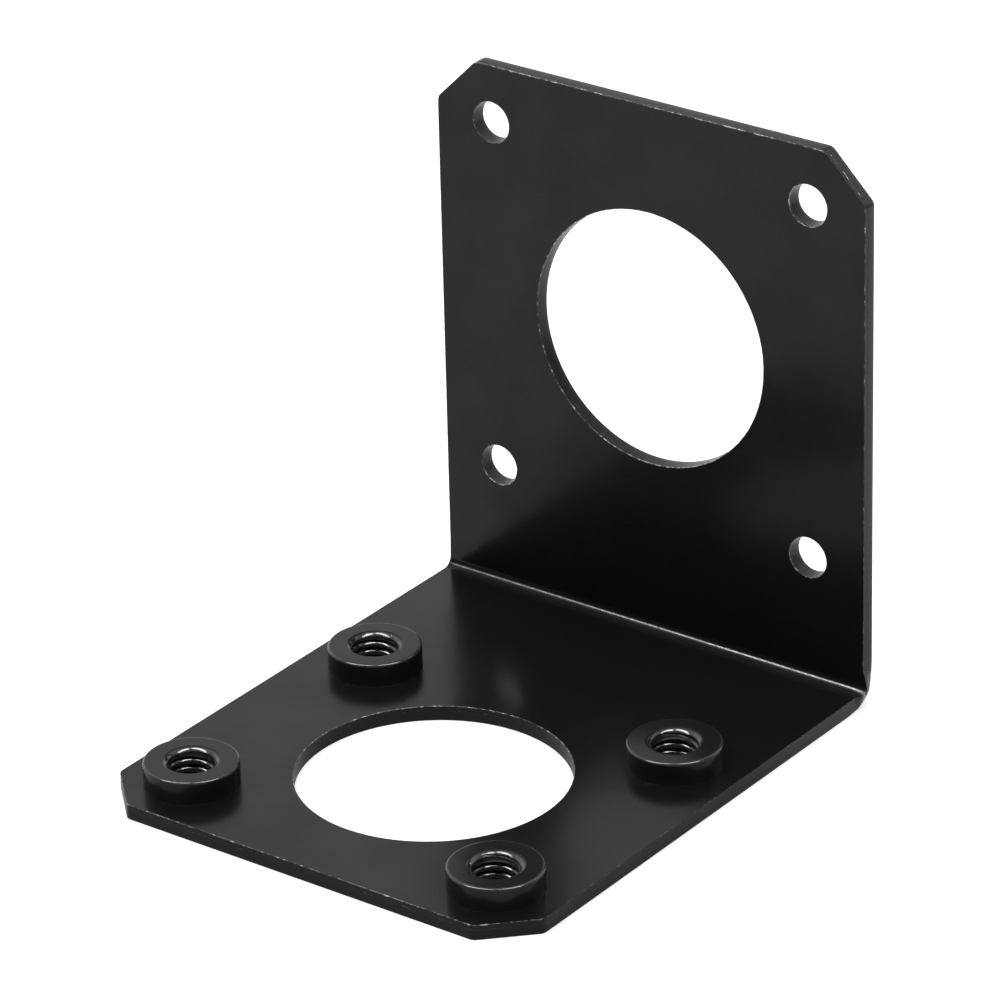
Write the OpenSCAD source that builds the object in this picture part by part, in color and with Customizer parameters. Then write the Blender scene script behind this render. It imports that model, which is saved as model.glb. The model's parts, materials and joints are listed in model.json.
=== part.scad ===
// Motor mounting bracket: one folded steel sheet with four clinched nuts in its base.
// The origin is the centre of the base's round hole, on the underside.
// X runs along the fold, the upright stands at the back (+Y) and Z is up.

/* [Sheet] */
// Thickness of the coated sheet
sheet_t = 1.3; // [1.2:0.1:2]
// Width of the bracket along the fold
width = 41.8; // [40:0.1:60]
// Height of the upright's top edge above the underside
upright_h = 48.1; // [46:0.1:70]
// Length of the base from the upright's back face to the front edge
base_len = 49.4; // [48:0.2:70]

/* [Fold] */
// Inner radius of the fold
fold_inner_r = 0.8; // [0.4:0.1:1.5]
// How much larger the outer radius is than an even thickness gives
fold_thinning = 0.3; // [0:0.05:0.4]
// How far the squeezed inside of the fold swells past each side edge
fold_swell = 0.5; // [0.1:0.05:0.8]
// How far the swelling's centre lies off the fold line, towards the inside
swell_offset = 0.5; // [0.2:0.1:1]

/* [Corners] */
// Leg of the 45 degree cut on each free corner
corner_cut = 3.9; // [3:0.1:5]
// Radius that softens both ends of each cut
corner_r = 0.8; // [0.3:0.1:1.5]

/* [Motor plate] */
// Hole that clears the motor's pilot
pilot_d = 22.5; // [20:0.1:26]
// Pitch of the motor's screw holes, both ways
motor_pitch = 31; // [28:0.5:33]
// Motor screw hole
motor_hole_d = 3.7; // [3.2:0.1:4.5]
// Height of the motor's axis above the underside
motor_axis_h = 27.6; // [26:0.1:29]

/* [Base] */
// Round hole in the base
base_hole_d = 22.5; // [16:0.1:22.7]
// Distance from the upright's back face to the round hole's centre
base_hole_set = 31.6; // [31:0.1:33]
// Nut pitch along the fold
nut_pitch_x = 30; // [29:0.5:32]
// Nut pitch away from the fold
nut_pitch_y = 24; // [23:0.5:25]

/* [Clinch nuts] */
// Outside diameter of the nut's round body
nut_d = 7.8; // [7.4:0.1:8.2]
// Height of the body above the sheet
nut_h = 2; // [1.6:0.1:3]
// Radius of the body's top edge
nut_edge_r = 0.25; // [0.1:0.05:0.4]
// Bore at the crests of the screw thread
thread_bore_d = 3.3; // [3:0.1:3.4]
// Width of the countersunk mouth on top
mouth_d = 4.6; // [4.2:0.1:5]
// Width of the countersunk mouth at the shank's end
shank_mouth_d = 4.2; // [3.8:0.1:4.6]
// Diameter over the teeth of the clinching ring
ring_d = 6.5; // [6:0.1:6.8]
// Depth of the clinching ring below the body
ring_h = 0.3; // [0.2:0.05:0.35]
// Number of teeth around the ring
ring_teeth = 24; // [18:1:30]
// Depth of each tooth
tooth_depth = 0.25; // [0.15:0.05:0.35]
// Diameter of the groove that the sheet flows into
neck_d = 5; // [4.8:0.1:5.1]
// Height of the groove
neck_h = 0.3; // [0.2:0.05:0.3]
// Diameter of the shank's end
shank_d = 5.4; // [5.3:0.1:5.6]
// How far the shank's end stays above the underside
shank_setback = 0.3; // [0.1:0.05:0.4]
// Gap left between the nut's teeth, groove and shank and the sheet around them
clinch_gap = 0.03; // [0.02:0.01:0.04]

/* [Hidden] */
$fn = 96;
nut_names = [for (row = ["rear", "front"]) for (side = ["left", "right"]) str("nut_", row, "_", side)];
nut_places = [for (row = [1, -1]) for (side = [-1, 1]) [side * nut_pitch_x / 2, row * nut_pitch_y / 2]];

black_coat = [0.13, 0.13, 0.135];
back_y = base_hole_set;
front_y = back_y - base_len;
fold_outer_r = fold_inner_r + sheet_t + fold_thinning;
// Tangent length of a corner radius on a 45 degree turn
corner_tangent = corner_r * tan(22.5);
// The swelling is a cap that fades out at the sheet's outer faces
swell_reach = sheet_t + swell_offset;
swell_ball_r = (swell_reach * swell_reach + fold_swell * fold_swell) / (2 * fold_swell);
// How far a cutting shape runs past the face that it opens
overcut = 1;

// Rectangle in the side view whose lower back corner is rounded
module side_block(front, back, bottom, top, r) {
    translate([front, bottom + r]) square([back - front, top - bottom - r]);
    translate([front, bottom]) square([back - r - front, top - bottom]);
    translate([back - r, bottom + r]) circle(r);
}

// The folded sheet seen from the side: a thick L with both radii of the fold
module fold_profile() {
    difference() {
        side_block(front_y, back_y, 0, upright_h, fold_outer_r);
        side_block(front_y - overcut, back_y - sheet_t, sheet_t, upright_h + overcut, fold_inner_r);
    }
}

// A length of the folded L, lying along X
module folded_strip(length) {
    rotate([90, 0, 90]) linear_extrude(length, center = true) fold_profile();
}

// Flat outline of one leg, measured from the fold, with its free corners cut and softened
module leg_outline(length) {
    half = width / 2;
    side_turn = length - corner_cut;
    end_turn = half - corner_cut;
    slope = corner_tangent / sqrt(2);
    right_side = [
        [half, 0],
        [half, side_turn - corner_tangent],
        [half - slope, side_turn + slope],
        [end_turn + slope, length - slope],
        [end_turn - corner_tangent, length]
    ];
    left_side = [for (i = [len(right_side) - 1:-1:0]) [-right_side[i][0], right_side[i][1]]];
    polygon(concat(right_side, left_side));
    for (side = [-1, 1]) {
        translate([side * (half - corner_r), side_turn - corner_tangent]) circle(corner_r);
        translate([side * (end_turn - corner_tangent), length - corner_r]) circle(corner_r);
    }
}

// The two legs' outlines, each carried right through the other leg
module leg_envelope() {
    intersection() {
        translate([0, back_y + overcut, 0]) rotate([90, 0, 0])
            linear_extrude(base_len + 2 * overcut) leg_outline(upright_h);
        translate([0, back_y, -overcut]) mirror([0, 1, 0])
            linear_extrude(upright_h + 2 * overcut) leg_outline(base_len);
    }
}

// Metal that the fold squeezes out past both side edges
module fold_swelling() {
    intersection() {
        folded_strip(width + 2 * fold_swell);
        for (side = [-1, 1])
            translate([
                side * (width / 2 + fold_swell - swell_ball_r),
                back_y - sheet_t - swell_offset,
                sheet_t + swell_offset
            ]) sphere(swell_ball_r);
    }
}

// Pilot hole and four screw holes through the upright
module motor_holes() {
    translate([0, back_y + overcut, motor_axis_h]) rotate([90, 0, 0]) {
        cylinder(d = pilot_d, h = sheet_t + 2 * overcut);
        for (x = [-1, 1])
            for (z = [-1, 1])
                translate([x * motor_pitch / 2, z * motor_pitch / 2, 0])
                    cylinder(d = motor_hole_d, h = sheet_t + 2 * overcut);
    }
}

// Toothed outline of the clinching ring, with every face moved out by grow
module toothed_ring(grow) {
    tip_r = ring_d / 2 + grow;
    root_r = tip_r - tooth_depth;
    step = 360 / (2 * ring_teeth);
    polygon([
        for (i = [0:2 * ring_teeth - 1])
            let (r = i % 2 == 0 ? tip_r : root_r)
                [r * cos(i * step), r * sin(i * step)]
    ]);
}

// Room for one nut: a toothed bed on top, a lip that grips the groove, and a straight hole below
module nut_seat() {
    ring_floor = sheet_t - ring_h;
    lip_floor = ring_floor - neck_h;
    translate([0, 0, ring_floor - clinch_gap]) linear_extrude(ring_h + clinch_gap + overcut)
        toothed_ring(clinch_gap);
    cylinder(d = neck_d + 2 * clinch_gap, h = sheet_t);
    translate([0, 0, -overcut]) cylinder(d = shank_d + 2 * clinch_gap, h = lip_floor + clinch_gap + overcut);
}

// Steel sheet, punched, cropped at the corners and folded once
module sheet() {
    color(black_coat) difference() {
        union() {
            intersection() {
                folded_strip(width);
                leg_envelope();
            }
            fold_swelling();
        }
        motor_holes();
        translate([0, 0, -overcut]) cylinder(d = base_hole_d, h = sheet_t + 2 * overcut);
        for (place = nut_places) translate(place) nut_seat();
    }
}

// Half section of the nut's body above the sheet, with a rounded top edge and a countersunk mouth
module nut_body_section() {
    bore_r = thread_bore_d / 2;
    mouth_depth = (mouth_d - thread_bore_d) / 2;
    body_r = nut_d / 2;
    difference() {
        union() {
            square([body_r, nut_h - nut_edge_r]);
            square([body_r - nut_edge_r, nut_h]);
            translate([body_r - nut_edge_r, nut_h - nut_edge_r]) circle(nut_edge_r);
        }
        translate([-overcut, -overcut]) square([bore_r + overcut, nut_h + 2 * overcut]);
        polygon([
            [0, nut_h - mouth_depth],
            [bore_r, nut_h - mouth_depth],
            [bore_r + mouth_depth + overcut, nut_h + overcut],
            [0, nut_h + overcut]
        ]);
    }
}

// Half section of the groove and the shank below the clinching ring
module nut_shank_section() {
    bore_r = thread_bore_d / 2;
    mouth_depth = (shank_mouth_d - thread_bore_d) / 2;
    shank_l = sheet_t - shank_setback;
    polygon([
        [bore_r, 0],
        [neck_d / 2, 0],
        [neck_d / 2, -ring_h - neck_h],
        [shank_d / 2, -ring_h - neck_h],
        [shank_d / 2, -shank_l],
        [shank_mouth_d / 2, -shank_l],
        [bore_r, mouth_depth - shank_l]
    ]);
}

// Round nut pressed into the base from above, held by its toothed ring and its groove
module clinch_nut(place) {
    color(black_coat) translate([place[0], place[1], sheet_t]) {
        rotate_extrude() {
            nut_body_section();
            nut_shank_section();
        }
        translate([0, 0, -ring_h]) difference() {
            linear_extrude(ring_h) toothed_ring(0);
            translate([0, 0, -overcut]) cylinder(d = thread_bore_d, h = ring_h + 2 * overcut);
        }
    }
}

sheet();
for (i = [0:len(nut_names) - 1])
    clinch_nut(nut_places[i]);
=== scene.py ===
# Motor mounting bracket: one folded black sheet with four clinched nuts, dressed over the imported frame.
# Metres throughout. X runs along the fold, the upright stands at +Y and Z is up.
import json
import math
import bmesh
import bpy
from mathutils import Matrix, Vector, noise


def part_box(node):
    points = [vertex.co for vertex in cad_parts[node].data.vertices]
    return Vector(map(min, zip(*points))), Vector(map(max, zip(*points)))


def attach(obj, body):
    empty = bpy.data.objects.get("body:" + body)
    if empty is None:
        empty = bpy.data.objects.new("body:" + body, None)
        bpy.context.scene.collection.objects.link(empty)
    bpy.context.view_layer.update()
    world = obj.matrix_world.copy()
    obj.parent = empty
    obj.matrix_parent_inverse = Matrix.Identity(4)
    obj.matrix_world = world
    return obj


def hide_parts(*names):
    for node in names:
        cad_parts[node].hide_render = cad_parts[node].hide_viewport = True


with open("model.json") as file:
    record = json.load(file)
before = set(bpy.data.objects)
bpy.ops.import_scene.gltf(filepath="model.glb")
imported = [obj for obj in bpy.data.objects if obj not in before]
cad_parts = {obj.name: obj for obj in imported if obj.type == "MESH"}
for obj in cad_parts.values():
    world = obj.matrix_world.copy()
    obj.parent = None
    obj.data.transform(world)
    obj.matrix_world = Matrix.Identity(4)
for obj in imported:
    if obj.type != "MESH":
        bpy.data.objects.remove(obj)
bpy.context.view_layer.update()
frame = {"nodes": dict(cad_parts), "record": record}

mounts = {mount["name"]: mount for mount in frame["record"]["mounts"]}
mm = 0.001
# Share and turn of each step round a small rounded edge
quarterArc = [(angle / 90, math.radians(angle)) for angle in (0, 30, 60, 90)]
print("frame loaded:", ", ".join(sorted(frame["nodes"])))

# The sheet: what a user would change, in metres
sheetSizes = {
    "thickness": 1.3 * mm,
    "width": 41.8 * mm,
    "foldInnerRadius": 0.8 * mm,
    "foldOuterRadius": 2.4 * mm,
    "foldRows": 20,
    "swellLeft": 0.05 * mm,  # how far the squeezed inside of the fold stands out past the left edge
    "swellRight": 0.47 * mm,
    "drawIn": 0.09 * mm,  # how far the stretched outside of the fold draws in
    "swellSet": 0.25 * mm,  # how far the swelling's centre lies off the inner faces
    "swellUp": 2.15 * mm,  # where the swelling ends above, below, in front of and behind its centre
    "swellDown": 1.3 * mm,
    "swellFront": 1.0 * mm,
    "swellBack": 1.6 * mm,
    "swellFade": 2.5 * mm,
    "cornerCut": 3.9 * mm,
    "cornerRadius": 0.8 * mm,
    "foldHighlightAt": 0.51,  # share of the fold's turn where a painted highlight lies along the inside of the fold
    "foldHighlightReach": 0.09,
    "foldHighlightLeft": 0.45,  # how strong the painted highlight is at the left end and at the right end
    "foldHighlightRight": 0.75,
    "foldHighlightStart": 0.2 * mm,  # how far from the left end it starts
    "foldHighlightFade": 0.4 * mm,
    "foldHighlightWander": 0.025,
    "foldHighlightEnd": 1.3 * mm,  # length at the right end where the line drops, widens and brightens
    "foldHighlightDrop": 0.2,
    "foldHighlightWiden": 0.5,
    "foldHighlightBrighten": 0.4,
    "stretchEnd": 3.0 * mm,  # length beside the fold over which the outer face catches up
    "edgeStep": 0.25 * mm,
    "cornerSteps": 6,
    "cutGap": 1e-8,  # points closer than these are one when a cut is made and at the end
    "weldGap": 1e-7,
    "sharpAngle": 40,  # degrees from which an edge is drawn sharp
}

# The cut edge of the punched sheet, from the inner face to the outer face
punchedEdge = {
    "burrRadius": 0.03 * mm,
    "chipReach": 0.11 * mm,  # how far chipped coating reaches into the face
    "tear": 0.012 * mm,  # how far the torn band leans back from the sheared band
    "tearDepth": 0.42 * mm,
    "tearWander": 0.08 * mm,
    "rollRadius": 0.035 * mm,
    "flatRim": 0.1 * mm,  # even strip beside the rolled edge that keeps the outer face flat
    "burrWobble": 0.012 * mm,
    "burrLength": 0.3 * mm,
    "burrFine": 2.7,  # a finer wobble on top: how many times shorter it is, and its share
    "burrFineShare": 0.5,
    "tearLong": 0.35,  # how much slower the torn line wanders than the burr wobbles
    "partWorn": 0.55,  # how worn the chipped strip and the torn line are, and the rolled edge
    "rollWorn": 0.35,
    "seatRoll": 0.6,  # how large the rolled edge of a nut's hole is against the sheet's own
    "largeTaper": 0.02 * mm,  # how much closer a hole is at the outer face
    "smallTaper": 0.06 * mm,
    "holeCoat": 0.07 * mm,  # how much the coating closes in a hole
    "endWear": 1.0,  # how worn the upright's free end is, the base's, the sides and the holes
    "frontWear": 0.85,
    "sideWear": 0.6,
    "holeWear": 0.95,
    "cornerBurr": 0.4,  # on the upright's corner cuts the burr is dressed down and the torn line shows instead
    "cornerLedge": 1.9,
    "cornerThin": 0.12,  # how thin the coating is on those cuts
    "screwHoleThin": 0.16,  # how thin the coating is inside the screw holes
}


def linkObject(name, mesh):
    made = bpy.data.objects.new(name, mesh)
    bpy.context.scene.collection.objects.link(made)
    return made


# Places taken from the frame
sheetLow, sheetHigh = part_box("sheet")
backY = sheetHigh.y
frontY = sheetLow.y
topZ = sheetHigh.z
thickness = sheetSizes["thickness"]
innerRadius = sheetSizes["foldInnerRadius"]
outerRadius = sheetSizes["foldOuterRadius"]
halfWidth = sheetSizes["width"] / 2
baseFlat = backY - thickness - innerRadius - frontY
foldLength = (innerRadius + thickness / 2) * math.pi / 2
uprightFlat = topZ - thickness - innerRadius
foldEnd = baseFlat + foldLength
blankLength = foldEnd + uprightFlat


# The four corners of a mount's screw pattern
def boltPlaces(mount):
    across = mount["dims"]["spacing_x_mm"] * mm / 2
    along = mount["dims"]["spacing_y_mm"] * mm / 2
    return [(sx * across, sy * along) for sx in (-1, 1) for sy in (-1, 1)]


# A place on the upright, given by its height, in the blank's own length
def uprightToBlank(height):
    return foldEnd + height - thickness - innerRadius


# A place on the base, given by its Y, in the blank's own length
def baseToBlank(y):
    return y - frontY


# Outline of the blank as points with the direction into the metal, its eight corners softened
def blankEdge():
    cut = sheetSizes["cornerCut"]
    soft = sheetSizes["cornerRadius"]
    corners = [
        Vector((halfWidth, cut)), Vector((halfWidth, blankLength - cut)),
        Vector((halfWidth - cut, blankLength)), Vector((cut - halfWidth, blankLength)),
        Vector((-halfWidth, blankLength - cut)), Vector((-halfWidth, cut)),
        Vector((cut - halfWidth, 0)), Vector((halfWidth - cut, 0)),
    ]
    arcSteps = sheetSizes["cornerSteps"]
    turned = []
    for i, corner in enumerate(corners):
        before = (corner - corners[i - 1]).normalized()
        after = (corners[(i + 1) % len(corners)] - corner).normalized()
        inward = Vector((-before.y, before.x))
        turn = before.angle(after)
        centre = corner - before * soft * math.tan(turn / 2) + inward * soft
        start = math.atan2(-inward.y, -inward.x)
        arc = []
        for step in range(arcSteps + 1):
            angle = start + turn * step / arcSteps
            out = Vector((math.cos(angle), math.sin(angle)))
            arc.append((centre + out * soft, -out))
        turned.append(arc)
    points = []
    for i, arc in enumerate(turned):
        points += arc
        begin, inward = arc[-1]
        finish = turned[(i + 1) % len(turned)][0][0]
        pieces = max(1, round((finish - begin).length / sheetSizes["edgeStep"]))
        points += [(begin.lerp(finish, k / pieces), inward) for k in range(1, pieces)]
    return points


# Edge of a round hole as points with the direction into the metal
def holeEdge(centre, radius, step):
    count = max(48, round(2 * math.pi * radius / step))
    points = []
    for k in range(count):
        out = Vector((math.cos(2 * math.pi * k / count), math.sin(2 * math.pi * k / count)))
        points.append((centre + out * radius, out))
    return points


# Rows of the punched edge: how far in, how deep, edge share, wall share, how much it wobbles and wanders
def punchedRows():
    burr = punchedEdge["burrRadius"]
    chip = punchedEdge["chipReach"]
    roll = punchedEdge["rollRadius"]
    tear = punchedEdge["tear"]
    depth = punchedEdge["tearDepth"]
    part = punchedEdge["partWorn"]
    ledge = tear * 2
    rows = [(tear + burr + chip, 0, 0, 0, 0, 0), (tear + burr + chip * 0.3, 0, part, 0, 0.6, 0)]
    for share, turn in quarterArc:
        inset = tear + burr * (1 - math.sin(turn))
        rows.append((inset, burr * (1 - math.cos(turn)), 1, share, 1, 0))
    rows += [
        (tear, burr + chip * 0.5, 0.5, 1, 0.8, 0),
        (tear, burr + chip * 1.1, 0, 1, 0.5, 0),
        (tear, depth - ledge * 2, 0, 1, 0, 1),
        (tear, depth - ledge * 0.5, part, 1, 0, 1),
        (0, depth + ledge * 0.5, part, 1, 0, 1),
        (0, depth + ledge * 2, 0, 1, 0, 1),
        (0, (depth + thickness) / 2, 0, 1, 0, 0),
    ]
    for share, turn in quarterArc:
        wall = 1 - share
        inset = roll * (1 - math.cos(turn))
        rows.append((inset, thickness - roll * (1 - math.sin(turn)), punchedEdge["rollWorn"] * wall, wall, 0, 0))
    rows.append((roll + punchedEdge["flatRim"], thickness, 0, 0, 0, 0))
    return rows


# How worn the edge is at a place of the blank's outline, by the nearer free end
def outlineWear(place):
    end = punchedEdge["endWear" if place.y > blankLength / 2 else "frontWear"]
    near = sheetSizes["cornerCut"] - min(place.y, blankLength - place.y)
    share = min(1, max(0, near / sheetSizes["cornerRadius"] + 1))
    return punchedEdge["sideWear"] * (1 - share) + end * share


# Whether a place of the outline lies on one of the upright's corner cuts
def onCornerCut(place):
    cut = sheetSizes["cornerCut"]
    return place.y > blankLength - cut and abs(place.x) > halfWidth - cut


# How worn a row of the outline is at a place
def rowWear(place, depth):
    worn = outlineWear(place)
    if onCornerCut(place):
        worn *= punchedEdge["cornerBurr" if depth < punchedEdge["tearDepth"] / 2 else "cornerLedge"]
    return worn


# Adds the rows of one cut edge to the flat blank and returns its first and last loops.
# Only a hole has a taper, and its coating is as thin all round as thin says.
def addCutEdge(mesh, layers, points, seed, taper=None, thin=0.0):
    outline = taper is None
    loops = []
    for inset, depth, edge, wall, wobble, wander in punchedRows():
        loop = []
        for place, inward in points:
            spot = Vector((place.x, place.y, seed)) / punchedEdge["burrLength"]
            rough = noise.noise(spot) + punchedEdge["burrFineShare"] * noise.noise(spot * punchedEdge["burrFine"])
            lean = max(0, inset + wobble * punchedEdge["burrWobble"] * rough)
            if not outline:
                lean -= punchedEdge["holeCoat"] + taper * depth / thickness
            stray = wander * punchedEdge["tearWander"] * noise.noise(spot * punchedEdge["tearLong"])
            at = place + inward * lean
            vertex = mesh.verts.new((at.x, at.y, -depth - stray))
            vertex[layers["edge"]] = edge * (rowWear(place, depth) if outline else punchedEdge["holeWear"])
            vertex[layers["wall"]] = wall
            vertex[layers["thin"]] = wall * (punchedEdge["cornerThin"] if outline and onCornerCut(place) else thin)
            loop.append(vertex)
        loops.append(loop)
    stitch(mesh, loops)
    return loops[0], loops[-1]


# Closes neighbouring loops of the same count with quads
def stitch(mesh, loops):
    for upper, lower in zip(loops, loops[1:]):
        count = len(upper)
        for k in range(count):
            mesh.faces.new((upper[k], upper[(k + 1) % count], lower[(k + 1) % count], lower[k]))


# Seat of one nut: a toothed bed, a lip and a straight hole below
def addNutSeat(mesh, layers, centre):
    gap = nutSizes["clinchGap"]
    toothDepth = nutSizes["toothDepth"]
    toothSteps = 4
    around = nutSizes["toothCount"] * toothSteps
    ringDepth = nutSizes["ringDepth"] + gap
    lipDepth = nutSizes["neckDepth"] - gap
    roll = punchedEdge["rollRadius"] * punchedEdge["seatRoll"]
    bed = nutSizes["ringRadius"] + gap
    shank = nutSizes["shankRadius"] + gap
    rows = [(bed, 0, True), (bed, ringDepth, True), (nutSizes["neckRadius"] + gap, ringDepth, False)]
    rows += [(nutSizes["neckRadius"] + gap, lipDepth, False), (shank, lipDepth, False)]
    for _, turn in quarterArc:
        rows.append((shank + roll * (1 - math.cos(turn)), thickness - roll * (1 - math.sin(turn)), False))
    rows.append((shank + roll + punchedEdge["flatRim"], thickness, False))
    loops = []
    for radius, depth, toothed in rows:
        loop = []
        for k in range(around):
            angle = 2 * math.pi * k / around
            out = abs(k % toothSteps - toothSteps // 2)
            reach = radius - toothDepth + toothDepth * out / (toothSteps // 2) if toothed else radius
            at = centre + Vector((math.cos(angle), math.sin(angle))) * reach
            vertex = mesh.verts.new((at.x, at.y, -depth))
            vertex[layers["wall"]] = 0 if depth == thickness else 1
            loop.append(vertex)
        loops.append(loop)
    stitch(mesh, loops)
    return loops[0], loops[-1]


# Closes one face of the blank between its outline and its holes
def fillFace(mesh, loops):
    edges = []
    for loop in loops:
        for k, vertex in enumerate(loop):
            edges.append(mesh.edges.get((vertex, loop[(k + 1) % len(loop)])))
    bmesh.ops.triangle_fill(mesh, edges=edges, use_beauty=True)


# Share of the full swelling of the fold's ends at a place in the side view
def swellAt(y, z):
    centre = thickness + sheetSizes["swellSet"]
    ahead = backY - centre - y
    above = z - centre
    ahead /= sheetSizes["swellFront" if ahead > 0 else "swellBack"]
    above /= sheetSizes["swellUp" if above > 0 else "swellDown"]
    return max(0, 1 - ahead ** 2 - above ** 2) ** 2


# Takes a place in the flat blank to its place in the folded sheet
def foldPlace(flat):
    along = flat.y
    deep = -flat.z / thickness
    fuller = outerRadius - thickness - innerRadius
    near = max(0, 1 - max(baseFlat - along, along - foldEnd, 0) / sheetSizes["stretchEnd"])
    slip = deep * fuller * near
    if along <= baseFlat:
        y = frontY + along - slip
        z = thickness * (1 - deep)
    elif along >= foldEnd:
        y = backY - thickness * (1 - deep)
        z = thickness + innerRadius + along - foldEnd + slip
    else:
        turn = (along - baseFlat) / foldLength * math.pi / 2
        inner = Vector((backY - thickness - innerRadius, thickness + innerRadius))
        outer = Vector((backY - outerRadius, outerRadius))
        arm = Vector((math.sin(turn), -math.cos(turn)))
        y, z = (inner + arm * innerRadius).lerp(outer + arm * outerRadius, deep)
    outside = max(0, 1 - (halfWidth - abs(flat.x)) / sheetSizes["swellFade"])
    swell = sheetSizes["swellRight" if flat.x > 0 else "swellLeft"] * swellAt(y, z)
    drawn = sheetSizes["drawIn"] * deep * near ** 4
    x = flat.x + math.copysign(1, flat.x) * (swell - drawn) * outside * outside
    return Vector((x, y, z))


# How strong the painted highlight along the inside of the fold is at a place in the flat blank
def paintedFoldHighlight(flat):
    if flat.z <= -thickness / 2:
        return 0
    turn = (flat.y - baseFlat) / foldLength
    across = (flat.x + halfWidth) / (2 * halfWidth)
    strength = sheetSizes["foldHighlightLeft"] * (1 - across) + sheetSizes["foldHighlightRight"] * across
    strength *= min(1, max(0, flat.x + halfWidth - sheetSizes["foldHighlightStart"]) / sheetSizes["foldHighlightFade"])
    thick = max(0, 1 - (halfWidth - flat.x) / sheetSizes["foldHighlightEnd"])
    strength *= 1 + sheetSizes["foldHighlightBrighten"] * thick
    wander = sheetSizes["foldHighlightWander"] * noise.noise(Vector((flat.x / mm, 7, 3)))
    wander -= sheetSizes["foldHighlightDrop"] * thick ** 2
    reach = sheetSizes["foldHighlightReach"] * (1 + sheetSizes["foldHighlightWiden"] * thick)
    return strength * max(0, 1 - abs(turn - sheetSizes["foldHighlightAt"] - wander) / reach)


# The flat blank is cut out, cut across at the fold's rows and then folded
def buildSheet():
    mesh = bmesh.new()
    bands = {"edge": "edgeWearAndSheenBand", "wall": "wallBand", "thin": "thinCoatAndFoldSheen"}
    layers = {key: mesh.verts.layers.float.new(band) for key, band in bands.items()}
    step = sheetSizes["edgeStep"]
    pilot = mounts["motor_pilot"]
    screws = mounts["motor_screws"]
    large = punchedEdge["largeTaper"]
    holes = [(Vector((0, uprightToBlank(pilot["pos_m"][2]))), pilot["dims"]["r_mm"] * mm, large, 0.0)]
    holes.append((Vector((0, baseToBlank(0))), mounts["base_hole"]["dims"]["r_mm"] * mm, large, 0.0))
    for x, z in boltPlaces(screws):
        height = uprightToBlank(screws["pos_m"][2] + z)
        radius = screws["dims"]["hole_r_mm"] * mm
        holes.append((Vector((x, height)), radius, punchedEdge["smallTaper"], punchedEdge["screwHoleThin"]))
    ends = [addCutEdge(mesh, layers, blankEdge(), 0)]
    for centre, radius, taper, thin in holes:
        ends.append(addCutEdge(mesh, layers, holeEdge(centre, radius, step), 1, taper, thin))
    for x, y in boltPlaces(mounts["nut_threads"]):
        ends.append(addNutSeat(mesh, layers, Vector((x, baseToBlank(y)))))
    fillFace(mesh, [first for first, last in ends])
    fillFace(mesh, [last for first, last in ends])
    stretch = sheetSizes["stretchEnd"]
    rows = sheetSizes["foldRows"]
    cuts = [baseFlat + foldLength * k / rows for k in range(rows + 1)]
    cuts += [baseFlat - stretch, foldEnd + stretch]
    for cut in cuts:
        everything = mesh.verts[:] + mesh.edges[:] + mesh.faces[:]
        plane = {"plane_co": (0, cut, 0), "plane_no": (0, 1, 0), "dist": sheetSizes["cutGap"]}
        bmesh.ops.bisect_plane(mesh, geom=everything, **plane)
    # The painted highlight along the fold goes into the thin-coating layer before each point is folded
    for vertex in mesh.verts:
        vertex[layers["thin"]] = max(vertex[layers["thin"]], paintedFoldHighlight(vertex.co))
        vertex.co = foldPlace(vertex.co)
    bmesh.ops.remove_doubles(mesh, verts=mesh.verts, dist=sheetSizes["weldGap"])
    bmesh.ops.recalc_face_normals(mesh, faces=mesh.faces)
    made = bpy.data.meshes.new("foldedSheet")
    mesh.to_mesh(made)
    mesh.free()
    return finishMesh(linkObject("folded_sheet", made), sheetSizes["sharpAngle"])


# Smooth shading whose flat faces stay flat
def finishMesh(made, sharpAngle):
    mesh = made.data
    mesh.polygons.foreach_set("use_smooth", [True] * len(mesh.polygons))
    mesh.set_sharp_from_angle(angle=math.radians(sharpAngle))
    flatten = made.modifiers.new("flat faces", "WEIGHTED_NORMAL")
    flatten.mode = "FACE_AREA"
    flatten.weight = 100
    flatten.keep_sharp = True
    return made


# The clinch nuts, in metres
nutSizes = {
    "bodyRadius": 3.9 * mm,
    "bodyHeight": 2.0 * mm,
    "rimRadius": 0.25 * mm,
    "rimWearAndSheen": (1.0, 40, 35),  # how worn the rim is, with its painted highlight, at which degrees of its round, and how far either way
    "mouthWearAndSheen": (1.6, 38, 7.5),  # the same for the mouth, a narrow band that paints its highlight and is never more than full
    "footFillet": 0.008 * mm,
    "ringRadius": 3.25 * mm,
    "ringDepth": 0.3 * mm,
    "toothDepth": 0.25 * mm,
    "toothCount": 24,
    "neckRadius": 2.5 * mm,
    "neckDepth": 0.6 * mm,
    "shankRadius": 2.7 * mm,
    "shankLength": 1.0 * mm,
    "shankMouth": 2.1 * mm,
    "mouthRadius": 2.36 * mm,
    # The rounded mouth, from the top inwards: the angle it turns to and the radius of that stretch
    "mouthArcs": [(22, 0.12 * mm), (48, 1.1 * mm), (82, 0.25 * mm)],
    "mouthSteps": 6,
    "mouthLead": 0.5,  # how quickly the bore narrows below the mouth
    "mouthFlat": 0.15 * mm,  # even strips beside the mouth, inside the rim and below it
    "rimFlat": 0.05 * mm,
    "wallFlat": 0.1 * mm,
    "shankBevel": 0.08 * mm,
    "crestRadius": 1.65 * mm,
    "rootRadius": 2.03 * mm,
    "boreSlack": 0.1 * mm,  # points up to this far outside the crests belong to the bore
    "pitch": 0.7 * mm,
    "clinchGap": 0.03 * mm,
    "around": 144,
    "boreRows": 150,
    "sharpAngle": 50,
}
# Where each nut's thread starts, in turns
nutTurns = {"nut_rear_left": 0.0, "nut_rear_right": 0.52, "nut_front_left": 0.175, "nut_front_right": 0.393}


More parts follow.
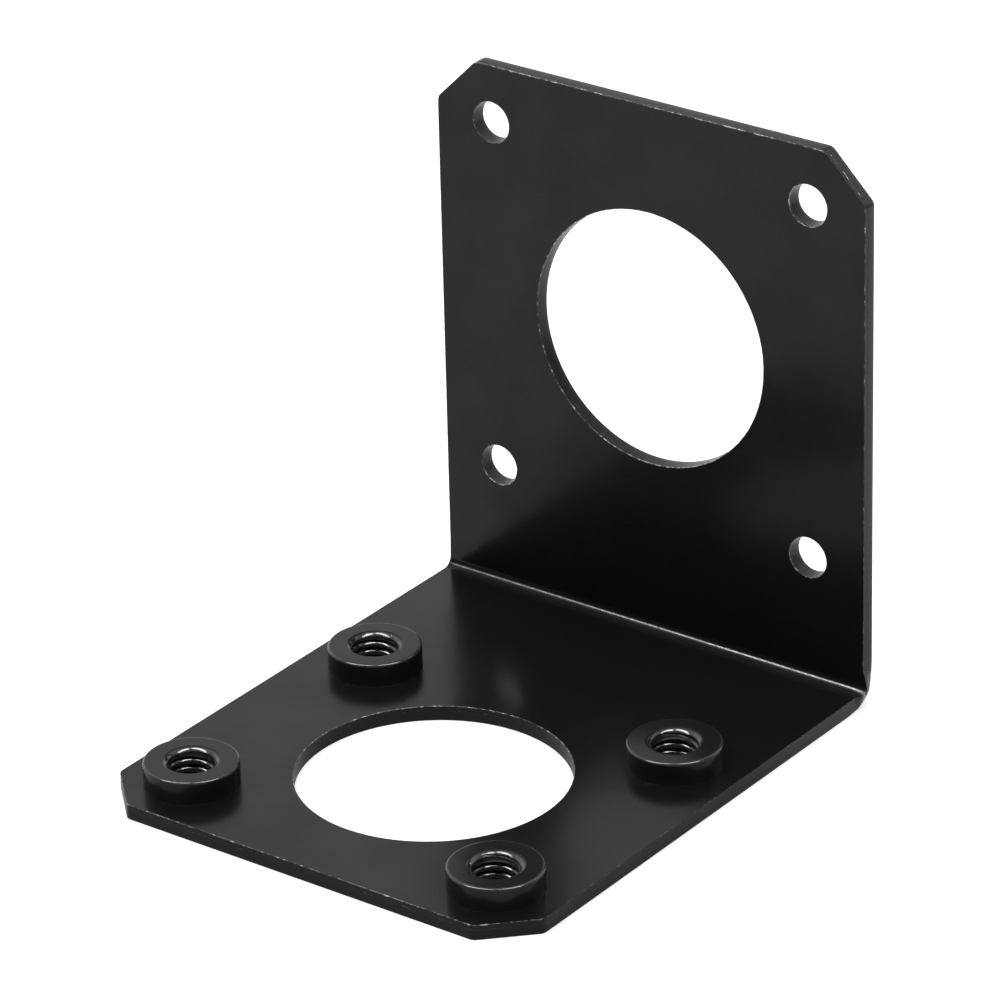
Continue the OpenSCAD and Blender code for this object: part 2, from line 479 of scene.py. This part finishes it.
def newTree(name, inputs):
    tree = bpy.data.node_groups.new(name, "GeometryNodeTree")
    sockets = {}
    for label, kind, value in inputs:
        socket = tree.interface.new_socket(label, in_out="INPUT", socket_type=kind)
        if value is not None:
            socket.default_value = value
        sockets[label] = socket.identifier
    tree.interface.new_socket("Geometry", in_out="OUTPUT", socket_type="NodeSocketGeometry")
    return tree, sockets


# Places a node, sets its values and joins its sockets
def addNode(tree, kind, values=None, **settings):
    node = tree.nodes.new(kind)
    for key, value in settings.items():
        setattr(node, key, value)
    for key, value in (values or {}).items():
        if isinstance(value, bpy.types.NodeSocket):
            tree.links.new(value, node.inputs[key])
        else:
            node.inputs[key].default_value = value
    return node


def calc(tree, operation, *values):
    return addNode(tree, "ShaderNodeMath", dict(enumerate(values)), operation=operation).outputs[0]


# Geometry Nodes: the section of one nut is turned round its axis, then the thread and the teeth are cut
def buildNutTree():
    plain = "NodeSocketFloat"
    tree, sockets = newTree("clinchNut", [
        ("Section", "NodeSocketGeometry", None),
        ("Place", "NodeSocketVector", None),
        ("Around", "NodeSocketInt", nutSizes["around"]),
        ("Crest Radius", plain, nutSizes["crestRadius"]),
        ("Root Radius", plain, nutSizes["rootRadius"]),
        ("Pitch", plain, nutSizes["pitch"]),
        ("Start Turn", plain, 0.0),
        ("Tooth Count", plain, nutSizes["toothCount"]),
        ("Tooth Depth", plain, nutSizes["toothDepth"]),
        ("Coat", "NodeSocketMaterial", None),
    ])
    given = addNode(tree, "NodeGroupInput").outputs
    axisRadius = 10 * mm
    wholeTurns = 20.0  # keeps the thread's count of turns above zero
    # The section is drawn as radius and height, and a curve's profile lies in X and minus Y
    drawn = addNode(tree, "ShaderNodeSeparateXYZ", {0: addNode(tree, "GeometryNodeInputPosition").outputs[0]}).outputs
    profile = addNode(tree, "ShaderNodeCombineXYZ", {
        0: calc(tree, "SUBTRACT", drawn["X"], axisRadius),
        1: calc(tree, "MULTIPLY", drawn["Z"], -1.0),
    })
    laid = addNode(tree, "GeometryNodeSetPosition", {"Geometry": given["Section"], "Position": profile.outputs[0]})
    line = addNode(tree, "GeometryNodeMeshToCurve", {"Mesh": laid.outputs[0]})
    ring = addNode(tree, "GeometryNodeCurvePrimitiveCircle", {
        "Resolution": given["Around"],
        "Radius": axisRadius,
    }, mode="RADIUS")
    turned = addNode(tree, "GeometryNodeCurveToMesh", {"Curve": ring.outputs[0], "Profile Curve": line.outputs[0]})
    # Angle in turns, radius and height of each point
    point = addNode(tree, "ShaderNodeSeparateXYZ", {0: addNode(tree, "GeometryNodeInputPosition").outputs[0]}).outputs
    turn = calc(tree, "DIVIDE", calc(tree, "ARCTAN2", point["Y"], point["X"]), 2 * math.pi)
    squares = [calc(tree, "MULTIPLY", point[axis], point[axis]) for axis in ("X", "Y")]
    radius = calc(tree, "SQRT", calc(tree, "ADD", *squares))
    # The thread: a crest rounded by the coating, and a groove that narrows to its root
    climb = calc(tree, "SUBTRACT", calc(tree, "DIVIDE", point["Z"], given["Pitch"]), turn)
    lift = calc(tree, "ADD", calc(tree, "ADD", climb, given["Start Turn"]), wholeTurns)
    off = calc(tree, "ABSOLUTE", calc(tree, "SUBTRACT", calc(tree, "FRACT", lift), 0.5))
    fromCrest = calc(tree, "SUBTRACT", 1.0, calc(tree, "MULTIPLY", off, 2.0))
    flank = addNode(tree, "ShaderNodeMapRange", {
        "Value": calc(tree, "MULTIPLY", fromCrest, fromCrest),
        "To Min": given["Crest Radius"],
        "To Max": given["Root Radius"],
    })
    bored = calc(tree, "MAXIMUM", radius, flank.outputs[0])
    # The teeth of the clinching ring
    zigzag = calc(tree, "PINGPONG", calc(tree, "MULTIPLY", turn, given["Tooth Count"]), 0.5)
    toothShare = addNode(tree, "GeometryNodeInputNamedAttribute", {"Name": "toothed"}, data_type="FLOAT").outputs[0]
    deepest = calc(tree, "MULTIPLY", toothShare, given["Tooth Depth"])
    bite = calc(tree, "MULTIPLY", calc(tree, "MULTIPLY", zigzag, 2.0), deepest)
    stretched = calc(tree, "DIVIDE", calc(tree, "SUBTRACT", bored, bite), radius)
    cutPlace = addNode(tree, "ShaderNodeCombineXYZ", {
        0: calc(tree, "MULTIPLY", point["X"], stretched),
        1: calc(tree, "MULTIPLY", point["Y"], stretched),
        2: point["Z"],
    })
    # How near each point of the bore lies to the crest, which places the painted highlight along the thread
    span = calc(tree, "SUBTRACT", given["Root Radius"], given["Crest Radius"])
    inBore = calc(tree, "LESS_THAN", radius, calc(tree, "ADD", given["Crest Radius"], nutSizes["boreSlack"]))
    fromRoot = calc(tree, "SUBTRACT", given["Root Radius"], bored)
    share = calc(tree, "MULTIPLY", inBore, calc(tree, "DIVIDE", fromRoot, span))
    marked = addNode(tree, "GeometryNodeStoreNamedAttribute", {
        "Geometry": turned.outputs[0],
        "Name": "crestShare",
        "Value": addNode(tree, "ShaderNodeClamp", {"Value": share}).outputs[0],
    }, data_type="FLOAT", domain="POINT")
    cut = addNode(tree, "GeometryNodeSetPosition", {"Geometry": marked.outputs[0], "Position": cutPlace.outputs[0]})
    moved = addNode(tree, "GeometryNodeTransform", {"Geometry": cut.outputs[0], "Translation": given["Place"]})
    smooth = addNode(tree, "GeometryNodeSetShadeSmooth", {"Geometry": moved.outputs[0]})
    real = addNode(tree, "GeometryNodeRealizeInstances", {"Geometry": smooth.outputs[0]})
    coated = addNode(tree, "GeometryNodeSetMaterial", {"Geometry": real.outputs[0], "Material": given["Coat"]})
    addNode(tree, "NodeGroupOutput", {0: coated.outputs[0]})
    return tree, sockets


# Half section of the nut as radius and height, with how worn each point is, a share that also paints the rim's and
# mouth's highlights, and how toothed it is
def nutSection():
    size = nutSizes
    points = []

    def add(radius, height, worn=0.0, toothed=0.0):
        points.append((radius, height, worn, toothed))

    rim = size["rimRadius"]
    top = size["bodyHeight"]
    foot = size["footFillet"]
    low = -size["shankLength"]
    bore = size["crestRadius"]
    # The mouth, worked out from the top inwards
    mouth = []
    radius, height, before = size["mouthRadius"], top, 0
    for angle, bend in size["mouthArcs"]:
        for step in range(1, size["mouthSteps"] + 1):
            turn = math.radians(before + (angle - before) * step / size["mouthSteps"])
            start = math.radians(before)
            mouth.append((
                radius - bend * (math.sin(turn) - math.sin(start)),
                height - bend * (math.cos(start) - math.cos(turn)),
                math.degrees(turn),
            ))
        radius, height = mouth[-1][:2]
        before = angle
    # Bore with a cone at the shank's end, up to the mouth
    for k in range(size["boreRows"]):
        level = low + (height - low) * k / size["boreRows"]
        below = size["shankMouth"] - (level - low)
        above = radius - (height - level) * size["mouthLead"]
        add(max(bore, below, above), level)
    # Round the mouth, a narrow band of rubbed coating at the angle where the lamps shine back: a painted highlight
    most, bandAngle, reach = size["mouthWearAndSheen"]
    for radius, height, angle in reversed(mouth):
        add(radius, height, min(1, max(0, most - abs(angle - bandAngle) / reach)))
    add(size["mouthRadius"], top)
    # Top face, rounded rim, wall and the fillet of coating at its foot
    add(size["mouthRadius"] + size["mouthFlat"], top)
    add(size["bodyRadius"] - rim - size["rimFlat"], top)
    # Round the rim, wear that also paints the rim's highlight, strongest where the lamps shine back
    most, bandAngle, reach = size["rimWearAndSheen"]
    for angle in range(0, 91, 10):
        turn = math.radians(angle)
        worn = max(0, most - abs(angle - bandAngle) / reach)
        add(size["bodyRadius"] - rim + rim * math.sin(turn), top - rim * (1 - math.cos(turn)), worn)
    add(size["bodyRadius"], top - rim - size["wallFlat"])
    add(size["bodyRadius"], top / 3)
    for _, turn in quarterArc:
        add(size["bodyRadius"] + foot * (1 - math.cos(turn)), foot * (1 - math.sin(turn)))
    # Toothed ring, groove and shank
    add(size["ringRadius"], 0, 0, 1)
    add(size["ringRadius"], -size["ringDepth"], 0, 1)
    add(size["neckRadius"], -size["ringDepth"])
    add(size["neckRadius"], -size["neckDepth"])
    add(size["shankRadius"], -size["neckDepth"])
    add(size["shankRadius"], low + size["shankBevel"])
    add(size["shankRadius"] - size["shankBevel"], low)
    return points


# One nut: its section is drawn as a line, turned and cut by the tree, and kept as plain mesh
def buildNut(name, tree, sockets, place, coat):
    points = nutSection()
    count = len(points)
    mesh = bpy.data.meshes.new(name + "_section")
    mesh.from_pydata([(p[0], 0, p[1]) for p in points], [(k, (k + 1) % count) for k in range(count)], [])
    for column, label in ((2, "edgeWearAndSheenBand"), (3, "toothed")):
        mesh.attributes.new(label, "FLOAT", "POINT").data.foreach_set("value", [p[column] for p in points])
    drawn = linkObject(name + "_drawn", mesh)
    turning = drawn.modifiers.new("clinch nut", "NODES")
    turning.node_group = tree
    inputs = {
        "Place": place,
        "Around": nutSizes["around"],
        "Crest Radius": nutSizes["crestRadius"],
        "Root Radius": nutSizes["rootRadius"],
        "Pitch": nutSizes["pitch"],
        "Start Turn": nutTurns[name],
        "Tooth Count": float(nutSizes["toothCount"]),
        "Tooth Depth": nutSizes["toothDepth"],
        "Coat": coat,
    }
    for label, value in inputs.items():
        turning[sockets[label]] = value
    evaluated = drawn.evaluated_get(bpy.context.evaluated_depsgraph_get())
    made = linkObject("clinched_" + name, bpy.data.meshes.new_from_object(evaluated))
    bpy.data.objects.remove(drawn)
    return finishMesh(made, nutSizes["sharpAngle"])


# Shader node groups, built once and placed in each coating: each puts out only masks and heights
def newShaderGroup(name, inputs, outputs):
    tree = bpy.data.node_groups.new(name, "ShaderNodeTree")
    for label, kind, value in inputs:
        socket = tree.interface.new_socket(label, in_out="INPUT", socket_type=kind)
        if value is not None:
            socket.default_value = value
    for label in outputs:
        tree.interface.new_socket(label, in_out="OUTPUT", socket_type="NodeSocketFloat")
    return tree, addNode(tree, "NodeGroupInput").outputs


def noiseAt(tree, place, scale, detail=2.0, rough=0.5):
    values = {"Vector": place, "Scale": scale, "Detail": detail, "Roughness": rough}
    return addNode(tree, "ShaderNodeTexNoise", values).outputs[0]


# Mixes two values, the second by its share
def mixTwo(tree, first, second, share):
    rest = calc(tree, "MULTIPLY", first, 1 - share)
    return calc(tree, "ADD", rest, calc(tree, "MULTIPLY", second, share))


# Spreads low..high of a value over start..end, without leaving that range
def spread(tree, value, low, high, start=0.0, end=1.0):
    values = {"Value": value, "From Min": low, "From Max": high, "To Min": start, "To Max": end}
    return addNode(tree, "ShaderNodeMapRange", values, clamp=True).outputs[0]


# The middle ranges of a noise, which it reaches nearly everywhere
noiseRange = (0.3, 0.7)
noiseCore = (0.35, 0.65)
# What all the coating has in common
coatLook = {
    "steel": (0.56, 0.55, 0.53),
    "gloss": (0.13, 0.18),  # roughness of the sharp reflection, from its smoothest patches to its dullest
    "bareDull": 0.25,  # how much duller bare steel and the torn band are
    "tornDull": 0.12,
    "hazePatches": (0.78, 1.22),  # how far the haze varies from patch to patch
    "hazeRefraction": 1.6,
    "peelSize": 2.2 * mm,
    "peelHeight": 0.007 * mm,
    "grainSize": 0.16 * mm,
    "grainHeight": 0.001 * mm,
    "grainShare": 0.3,  # share of the grain in the patches of gloss, and how much larger they are than the peel
    "smearScale": 0.35,
    "tearSize": 0.22 * mm,
    "tearHeight": 0.02 * mm,
    "speckSize": 0.35 * mm,
    "rubbedAndSheenPatches": (0.6, 1.3),  # how far a rubbed or painted-highlight band varies from patch to patch
}
# How the coating chips along an edge
chipLook = {
    "patchScale": 0.12,  # patches of chips against single specks, and their share
    "patchShare": 0.35,
    "fade": 0.3,  # how quickly chips get rarer away from the edge
    "gate": 0.75,  # noise above this chips the coating when there is no wear, and how far wear lowers it
    "gateDrop": 0.3,
    "chipRim": 0.03,  # how soft a chip's rim is, and how far the thin coating reaches round it
    "thinRim": 0.16,
    "edgeRim": 0.15,  # edge share from which chips are whole
}
# The coating of each kind of piece: its black, its colour where it is rubbed thin or a highlight is painted, and how
# it shines and wears.
# A rubbed band follows an attribute: where along it the band starts, is full, begins to fade and ends.
sheetLook = {
    "black": (0.0058, 0.0058, 0.006),
    "thin": (0.25, 0.25, 0.25),
    "refraction": 1.2,
    "haze": 0.24,
    "hazeSpread": 0.295,
    "wear": 0.7,
    "evenness": 0.04,
    "rubbedAndSheenBand": ("thinCoatAndFoldSheen", 0.0, 1.0, 2.0, 3.0),  # thinner coating in the screw holes and the corner cuts, and a painted highlight along the fold
    "tornBand": "wallBand",
}
nutLook = {
    "black": (0.0105, 0.0105, 0.0107),
    "thin": (0.13, 0.13, 0.13),
    "refraction": 1.26,
    "haze": 0.11,
    "hazeSpread": 0.27,
    "wear": 0.4,
    "evenness": 0.9,
    "rubbedAndSheenBand": ("crestShare", 0.3, 0.45, 0.82, 0.92),  # a painted highlight along the thread's flanks, short of the crests' tops
    "tornBand": None,
}


def buildPeelGroup():
    tree, given = newShaderGroup("coatPeel", [
        ("Place", "NodeSocketVector", None),
        ("Peel Scale", "NodeSocketFloat", 1 / coatLook["peelSize"]),
        ("Grain Scale", "NodeSocketFloat", 1 / coatLook["grainSize"]),
        ("Peel Height", "NodeSocketFloat", coatLook["peelHeight"]),
        ("Grain Height", "NodeSocketFloat", coatLook["grainHeight"]),
    ], ["Height", "Gloss"])
    peel = noiseAt(tree, given["Place"], given["Peel Scale"], 1.0)
    grain = noiseAt(tree, given["Place"], given["Grain Scale"], 1.0)
    smearScale = calc(tree, "MULTIPLY", given["Peel Scale"], coatLook["smearScale"])
    smear = noiseAt(tree, given["Place"], smearScale, 3.0)
    peelHeight = calc(tree, "MULTIPLY", peel, given["Peel Height"])
    grainHeight = calc(tree, "MULTIPLY", grain, given["Grain Height"])
    addNode(tree, "NodeGroupOutput", {
        "Height": calc(tree, "ADD", peelHeight, grainHeight),
        "Gloss": mixTwo(tree, smear, grain, coatLook["grainShare"]),
    })
    return tree


# Chips and thin coating along an edge; on the nuts the edge share also carries the painted highlights of rim and
# mouth
def buildWearGroup():
    tree, given = newShaderGroup("edgeWearAndSheen", [
        ("Place", "NodeSocketVector", None),
        ("Edge", "NodeSocketFloat", 0.0),
        ("Speck Scale", "NodeSocketFloat", 1 / coatLook["speckSize"]),
        ("Amount", "NodeSocketFloat", 0.5),
        ("Evenness", "NodeSocketFloat", 0.1),
    ], ["Bare", "Thin"])
    fine = noiseAt(tree, given["Place"], given["Speck Scale"], 2.0)
    patchScale = calc(tree, "MULTIPLY", given["Speck Scale"], chipLook["patchScale"])
    patch = noiseAt(tree, given["Place"], patchScale, 2.0)
    mixed = mixTwo(tree, fine, patch, chipLook["patchShare"])
    inward = calc(tree, "MULTIPLY", calc(tree, "SUBTRACT", given["Edge"], 1.0), chipLook["fade"])
    worn = calc(tree, "ADD", mixed, inward)
    gateDrop = calc(tree, "MULTIPLY", given["Amount"], chipLook["gateDrop"])
    gate = calc(tree, "SUBTRACT", chipLook["gate"], gateDrop)
    bare = spread(tree, worn, gate, calc(tree, "ADD", gate, chipLook["chipRim"]))
    thinFrom = calc(tree, "SUBTRACT", gate, chipLook["thinRim"])
    thin = spread(tree, worn, thinFrom, gate, given["Evenness"], 1.0)
    addNode(tree, "NodeGroupOutput", {
        "Bare": calc(tree, "MULTIPLY", bare, spread(tree, given["Edge"], 0.0, chipLook["edgeRim"])),
        "Thin": calc(tree, "MULTIPLY", thin, given["Edge"]),
    })
    return tree


def buildTearGroup():
    tree, given = newShaderGroup("tornBand", [
        ("Place", "NodeSocketVector", None),
        ("Wall", "NodeSocketFloat", 0.0),
        ("Tear Height", "NodeSocketFloat", coatLook["tearHeight"]),
    ], ["Height", "Rough"])
    pits = noiseAt(tree, given["Place"], 1 / coatLook["tearSize"], 3.0, 0.6)
    onWall = calc(tree, "MULTIPLY", pits, given["Wall"])
    addNode(tree, "NodeGroupOutput", {
        "Height": calc(tree, "MULTIPLY", onWall, given["Tear Height"]),
        "Rough": calc(tree, "MULTIPLY", given["Wall"], spread(tree, pits, *noiseCore)),
    })
    return tree


def attributeOf(tree, name):
    return addNode(tree, "ShaderNodeAttribute", attribute_name=name).outputs["Fac"]


def groupNode(tree, group, values):
    return addNode(tree, "ShaderNodeGroup", values, node_tree=group).outputs


# Lays one colour over another, as far as the cover says
def layColour(tree, cover, below, above):
    below = below if isinstance(below, bpy.types.NodeSocket) else (*below, 1)
    return addNode(tree, "ShaderNodeMix", {0: cover, 6: below, 7: (*above, 1)}, data_type="RGBA").outputs[2]


# Black half-gloss coating over steel: a sharp reflection with a haze over it
def buildCoat(name, groups, look):
    coat = bpy.data.materials.new(name)
    coat.use_nodes = True
    tree = coat.node_tree
    tree.nodes.clear()
    place = addNode(tree, "ShaderNodeTexCoord").outputs["Object"]
    edge = attributeOf(tree, "edgeWearAndSheenBand")
    peel = groupNode(tree, groups["peel"], {"Place": place})
    chips = groupNode(tree, groups["wear"], {
        "Place": place,
        "Edge": edge,
        "Amount": look["wear"],
        "Evenness": look["evenness"],
    })
    height = peel["Height"]
    rough = spread(tree, peel["Gloss"], *noiseRange, *coatLook["gloss"])
    if look["tornBand"]:
        tear = groupNode(tree, groups["tear"], {"Place": place, "Wall": attributeOf(tree, look["tornBand"])})
        height = calc(tree, "ADD", height, tear["Height"])
        rough = calc(tree, "ADD", rough, calc(tree, "MULTIPLY", tear["Rough"], coatLook["tornDull"]))
    rough = calc(tree, "ADD", rough, calc(tree, "MULTIPLY", chips["Bare"], coatLook["bareDull"]))
    # The rubbed band rises, stays and falls along its own attribute: thinner coating in the sheet's holes and corner
    # cuts, a painted highlight along the fold and the thread
    band, bandFrom, bandTo, bandOver, bandEnd = look["rubbedAndSheenBand"]
    along = attributeOf(tree, band)
    rubbedAndSheen = calc(tree, "MULTIPLY", spread(tree, along, bandFrom, bandTo), spread(tree, along, bandEnd, bandOver))
    specks = noiseAt(tree, place, 1 / coatLook["speckSize"], 4.0, 0.65)
    rubbedAndSheen = calc(tree, "MULTIPLY", rubbedAndSheen, spread(tree, specks, *noiseRange, *coatLook["rubbedAndSheenPatches"]))
    # Rubbed coating, thin rims of chips and painted highlights all take the lighter metallic colour
    worn = calc(tree, "MAXIMUM", chips["Thin"], rubbedAndSheen)
    tint = layColour(tree, worn, look["black"], look["thin"])
    tint = layColour(tree, chips["Bare"], tint, coatLook["steel"])
    hazeLow, hazeHigh = (look["haze"] * share for share in coatLook["hazePatches"])
    bump = addNode(tree, "ShaderNodeBump", {"Height": height, "Strength": 1.0, "Distance": 1.0})
    shell = addNode(tree, "ShaderNodeBsdfPrincipled", {
        "Base Color": tint,
        "Metallic": calc(tree, "MAXIMUM", worn, chips["Bare"]),
        "Roughness": rough,
        "IOR": look["refraction"],
        "Coat Weight": spread(tree, peel["Gloss"], *noiseCore, hazeLow, hazeHigh),
        "Coat IOR": coatLook["hazeRefraction"],
        "Coat Roughness": look["hazeSpread"],
        "Normal": bump.outputs[0],
    })
    addNode(tree, "ShaderNodeOutputMaterial", {0: shell.outputs[0]})
    return coat


# The photographed view: where the camera stands round the bracket and what it looks at
photoView = {
    "azimuth": 36.913,
    "elevation": 26.114,
    "roll": -1.399,
    "distance": 484.86 * mm,
    "lens": 219.06,
    "sensor": 36,
    "clipStart": 10 * mm,
    "clipEnd": 20,
    "aim": (0, 10.3 * mm, 16.3 * mm),
    "slideRight": -0.503 * mm,
    "slideUp": 4.417 * mm,
}


# To the right, up and back from the photographed view
def viewAxes():
    azimuth = math.radians(photoView["azimuth"])
    elevation = math.radians(photoView["elevation"])
    roll = math.radians(photoView["roll"])
    out = math.cos(elevation)
    back = Vector((math.sin(azimuth) * out, -math.cos(azimuth) * out, math.sin(elevation)))
    level = Vector((math.cos(azimuth), math.sin(azimuth), 0))
    upright = back.cross(level)
    right = level * math.cos(roll) + upright * math.sin(roll)
    up = upright * math.cos(roll) - level * math.sin(roll)
    return right, up, back


def buildCamera():
    right, up, back = viewAxes()
    aim = Vector(photoView["aim"]) + right * photoView["slideRight"] + up * photoView["slideUp"]
    seen = bpy.data.cameras.new("photoCamera")
    seen.lens = photoView["lens"]
    seen.sensor_width = photoView["sensor"]
    seen.clip_start = photoView["clipStart"]
    seen.clip_end = photoView["clipEnd"]
    camera = linkObject("photoCamera", seen)
    stand = Matrix.Translation(aim + back * photoView["distance"])
    camera.matrix_world = stand @ Matrix((right, up, back)).transposed().to_4x4()
    bpy.context.scene.camera = camera


# A lamp's direction is given as towards the camera, to its right, and up, then come its size and its radiance
studio = {
    "floorSize": 8.0,
    "floorDrop": 0.02 * mm,
    "floorTone": 0.8,
    "floorGlow": 0.5,  # added where the camera sees it
    "floorShine": 0.1,  # added where the bracket mirrors it
    "paintedFloorShade": 0.4,  # painted shade: how much darker the floor's colour is close by the bracket, in reflections only
    "shadeFull": 26 * mm,  # the shade is full up to here from the round hole's centre, and gone from there on
    "shadeEnd": 32 * mm,
    "lampDistance": 1.3,
    "lamps": {
        "leftSoftbox": ((0.12, -0.435, 0.89), (1.08, 0.28), 8.9),
        "rightSoftbox": ((0.18, 0.35, 0.91), (0.80, 0.28), 8.9),
    },
    "dark": 0.08,
    "pale": 0.855,
    "sweepFrom": -0.1,  # how far away from the camera the pale sweep starts and is full
    "sweepFull": 0.35,
    "wallTone": 0.42,  # a pale wall at the camera's side, between these heights of view
    "wallLow": 0.22,
    "wallHigh": 0.62,
    "wallSoft": 0.1,
    "wallFrom": 0.25,  # how far towards the camera it starts and is full
    "wallFull": 0.5,
}


def buildLamps():
    azimuth = math.radians(photoView["azimuth"])
    toCamera = Vector((math.sin(azimuth), -math.cos(azimuth), 0))
    toRight = Vector((math.cos(azimuth), math.sin(azimuth), 0))
    for name, (direction, size, radiance) in studio["lamps"].items():
        towards = (toCamera * direction[0] + toRight * direction[1] + Vector((0, 0, direction[2]))).normalized()
        lamp = bpy.data.lights.new(name, "AREA")
        lamp.shape = "RECTANGLE"
        lamp.size, lamp.size_y = size
        lamp.energy = radiance * math.pi * size[0] * size[1]
        holder = linkObject(name, lamp)
        across = toCamera.cross(towards).normalized()
        facing = Matrix((across, towards.cross(across), towards)).transposed()
        holder.matrix_world = Matrix.Translation(towards * studio["lampDistance"]) @ facing.to_4x4()


# A pale sweep behind the bracket, fading to a dim room with one pale wall on the camera's side
def buildWorld():
    world = bpy.data.worlds.new("studioRoom")
    world.use_nodes = True
    tree = world.node_tree
    tree.nodes.clear()
    azimuth = math.radians(photoView["azimuth"])
    way = addNode(tree, "ShaderNodeTexCoord").outputs["Generated"]
    away = (-math.sin(azimuth), math.cos(azimuth), 0)
    behind = addNode(tree, "ShaderNodeVectorMath", {0: way, 1: away}, operation="DOT_PRODUCT").outputs["Value"]
    tone = spread(tree, behind, studio["sweepFrom"], studio["sweepFull"], studio["dark"], studio["pale"])
    height = addNode(tree, "ShaderNodeSeparateXYZ", {0: way}).outputs["Z"]
    low, high, soft = studio["wallLow"], studio["wallHigh"], studio["wallSoft"]
    wall = calc(tree, "MINIMUM", spread(tree, height, low, low + soft), spread(tree, height, high, high - soft))
    wall = calc(tree, "MULTIPLY", wall, spread(tree, behind, -studio["wallFrom"], -studio["wallFull"]))
    tone = calc(tree, "MAXIMUM", tone, calc(tree, "MULTIPLY", wall, studio["wallTone"]))
    room = addNode(tree, "ShaderNodeBackground", {"Color": (1, 1, 1, 1), "Strength": tone})
    addNode(tree, "ShaderNodeOutputWorld", {0: room.outputs[0]})
    bpy.context.scene.world = world


# Pale floor that looks white to the camera and pale in reflections, and still takes the shadow; close by the bracket
# its colour has a painted shade in reflections
def buildFloor():
    half = studio["floorSize"] / 2
    low = -studio["floorDrop"]
    mesh = bpy.data.meshes.new("floor")
    corners = [(-half, -half, low), (half, -half, low), (half, half, low), (-half, half, low)]
    mesh.from_pydata(corners, [], [(0, 1, 2, 3)])
    floor = linkObject("floor", mesh)
    paper = bpy.data.materials.new("palePaper")
    paper.use_nodes = True
    tree = paper.node_tree
    tree.nodes.clear()
    rays = addNode(tree, "ShaderNodeLightPath").outputs
    mirrored = calc(tree, "MAXIMUM", rays["Is Glossy Ray"], rays["Is Transmission Ray"])
    glow = calc(tree, "MULTIPLY", rays["Is Camera Ray"], studio["floorGlow"])
    shine = calc(tree, "MULTIPLY", mirrored, studio["floorShine"])
    # Painted shade: in reflections the floor's colour darkens within a ring round the round hole's centre
    place = addNode(tree, "ShaderNodeTexCoord").outputs["Object"]
    away = addNode(tree, "ShaderNodeVectorMath", {0: place}, operation="LENGTH").outputs["Value"]
    shade = spread(tree, away, studio["shadeFull"], studio["shadeEnd"], studio["paintedFloorShade"], 0.0)
    tone = calc(tree, "SUBTRACT", 1.0, calc(tree, "MULTIPLY", mirrored, shade))
    shell = addNode(tree, "ShaderNodeBsdfPrincipled", {
        "Base Color": calc(tree, "MULTIPLY", tone, studio["floorTone"]),
        "Roughness": 1.0,
        "Specular IOR Level": 0.0,
        "Emission Color": (1, 1, 1, 1),
        "Emission Strength": calc(tree, "ADD", glow, shine),
    })
    addNode(tree, "ShaderNodeOutputMaterial", {0: shell.outputs[0]})
    mesh.materials.append(paper)


groups = {"peel": buildPeelGroup(), "wear": buildWearGroup(), "tear": buildTearGroup()}
sheetCoat = buildCoat("sheetCoat", groups, sheetLook)
nutCoat = buildCoat("nutCoat", groups, nutLook)
print("coatings ready")

sheet = buildSheet()
sheet.data.materials.append(sheetCoat)
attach(sheet, "root")
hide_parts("sheet")
print("sheet folded:", len(sheet.data.vertices), "points")

nutTree, nutSockets = buildNutTree()
for name in nutTurns:
    low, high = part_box(name)
    place = Vector(((low.x + high.x) / 2, (low.y + high.y) / 2, thickness))
    nut = buildNut(name, nutTree, nutSockets, place, nutCoat)
    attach(nut, "root")
    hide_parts(name)
print("nuts clinched:", len(nutTurns))

buildFloor()
buildLamps()
buildWorld()
buildCamera()
bpy.context.scene.view_settings.view_transform = "Standard"
print("studio and camera set")
